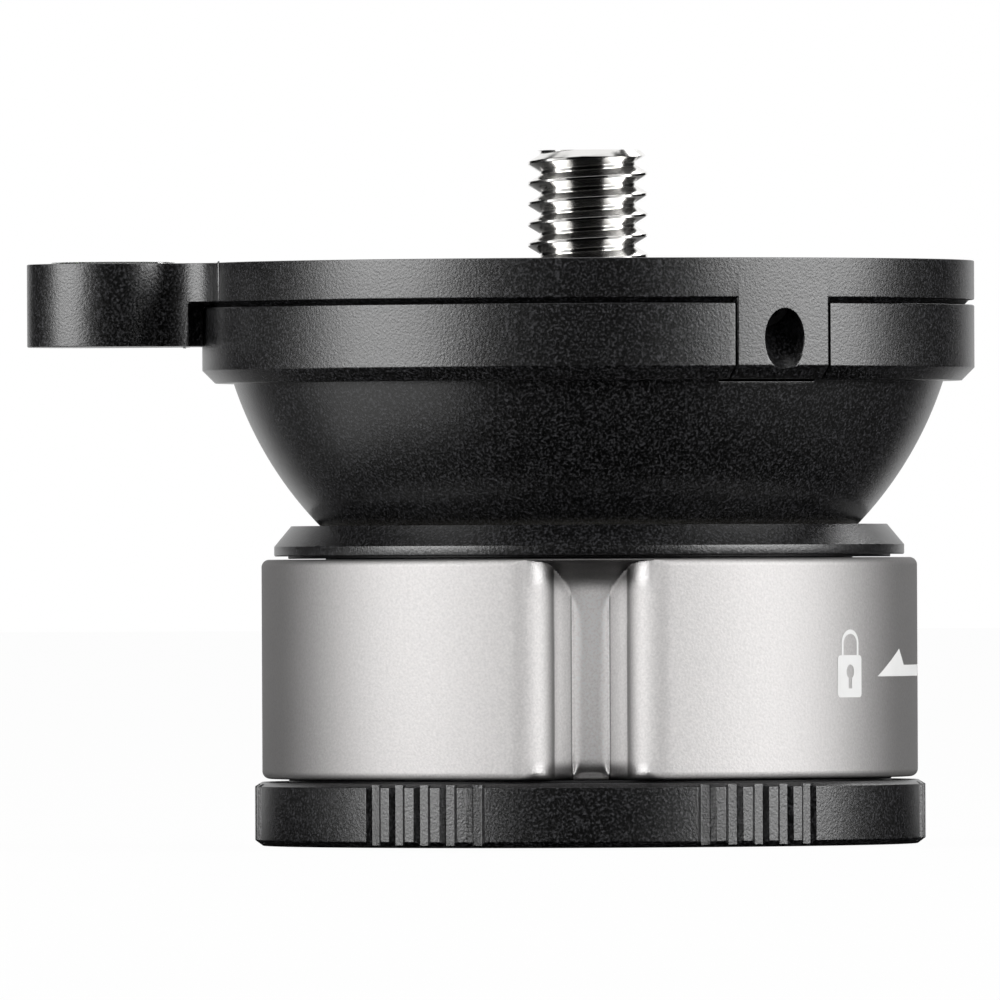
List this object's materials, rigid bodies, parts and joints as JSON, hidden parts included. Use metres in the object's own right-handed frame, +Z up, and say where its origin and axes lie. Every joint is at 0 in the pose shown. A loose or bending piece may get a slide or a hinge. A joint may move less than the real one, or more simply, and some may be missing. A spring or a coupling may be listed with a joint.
{
  "type": "tripod bowl head",
  "caption": "Levelling tripod head: half bowl tilting in a twist-lock base, with a top plate, bubble level and camera stud.",
  "frame": {"origin": "on the main axis, at the mouth of the tripod screw's hole, in the plane of the base's underside", "axes": "+Z up along the main axis, +X away from the level's tab, the picture looks along +Y"},
  "size_m": [0.0736, 0.06, 0.0539],
  "materials": {
    "black_anodised": "fine blasted black anodising",
    "silver_anodised": "fine blasted warm silver anodising",
    "stainless_steel": "turned and polished",
    "black_steel": "black oxide",
    "spring_steel": "bright drawn",
    "bronze": "turned",
    "slip_plastic": "turned, matt",
    "black_acetal": "turned, matt",
    "nylon": "matt",
    "level_housing": "smooth white",
    "level_fluid": "clear yellow-green liquid",
    "level_bubble": "air bubble",
    "level_lens": "clear acrylic"
  },
  "bodies": {
    "base": {"base_body": "black_anodised", "tripod_bush": "stainless_steel", "bowl_seat": "black_anodised", "seat_screw_1": "black_steel", "seat_screw_2": "black_steel", "seat_screw_3": "black_steel", "lower_slip_washer": "black_acetal", "upper_slip_washer": "black_acetal", "release_spring": "spring_steel"},
    "twist_ring": {"lock_ring": "silver_anodised"},
    "clamp": {"carriage": "stainless_steel", "cam_pin_1": "bronze", "cam_pin_2": "bronze", "cam_pin_3": "bronze", "clamp_rod": "black_steel", "clamp_dome": "stainless_steel", "disc_spring": "spring_steel", "clamp_nut": "stainless_steel"},
    "liner": {"seat_liner": "slip_plastic"},
    "slider": {"slide_washer": "slip_plastic"},
    "head": {"bowl": "black_anodised", "top_plate": "black_anodised", "camera_stud": "stainless_steel", "stud_nut": "black_steel", "plate_screw_1": "black_steel", "plate_screw_2": "black_steel", "plate_screw_3": "black_steel", "level_cup": "level_housing", "level_fluid": "level_fluid", "level_bubble": "level_bubble", "level_lens": "level_lens"},
    "tip_1": {"grub_tip_1": "nylon"},
    "grub_1": {"grub_screw_1": "black_steel"},
    "tip_2": {"grub_tip_2": "nylon"},
    "grub_2": {"grub_screw_2": "black_steel"}
  },
  "joints": [
    {"name": "lock_turn", "type": "hinge", "parent": "base", "child": "twist_ring", "pos_m": [0, 0, 0.0137], "axis": [0, 0, 1], "range_deg": [0, 60]},
    {"name": "clamp_lift", "type": "slide", "parent": "base", "child": "clamp", "axis": [0, 0, 1], "range_m": [0, 0.0012], "deforming": ["release_spring"]},
    {"name": "bowl_pan", "type": "hinge", "parent": "base", "child": "liner", "pos_m": [0, 0, 0.04491], "axis": [0, 0, 1], "continuous": true},
    {"name": "bowl_tilt_x", "type": "hinge", "parent": "liner", "child": "slider", "pos_m": [0, 0, 0.04491], "axis": [1, 0, 0], "range_deg": [-12, 12]},
    {"name": "bowl_tilt_y", "type": "hinge", "parent": "slider", "child": "head", "pos_m": [0, 0, 0.04491], "axis": [0, 1, 0], "range_deg": [-12, 12]},
    {"name": "grub_feed_1", "type": "slide", "parent": "head", "child": "tip_1", "axis": [-0.3657, -0.6334, 0.682], "range_m": [0, 0.0014]},
    {"name": "grub_turn_1", "type": "hinge", "parent": "tip_1", "child": "grub_1", "pos_m": [0.015, 0.02598, 0.03891], "axis": [-0.3657, -0.6334, 0.682], "range_deg": [0, 720]},
    {"name": "grub_feed_2", "type": "slide", "parent": "head", "child": "tip_2", "axis": [-0.3657, 0.6334, 0.682], "range_m": [0, 0.0014]},
    {"name": "grub_turn_2", "type": "hinge", "parent": "tip_2", "child": "grub_2", "pos_m": [0.015, -0.02598, 0.03891], "axis": [-0.3657, 0.6334, 0.682], "range_deg": [0, 720]}
  ],
  "couplings": [
    {"joint": "lock_turn", "follows": "clamp_lift", "rad_per_m": 872.66},
    {"joint": "grub_turn_1", "follows": "grub_feed_1", "rad_per_m": 8976},
    {"joint": "grub_turn_2", "follows": "grub_feed_2", "rad_per_m": 8976}
  ]
}
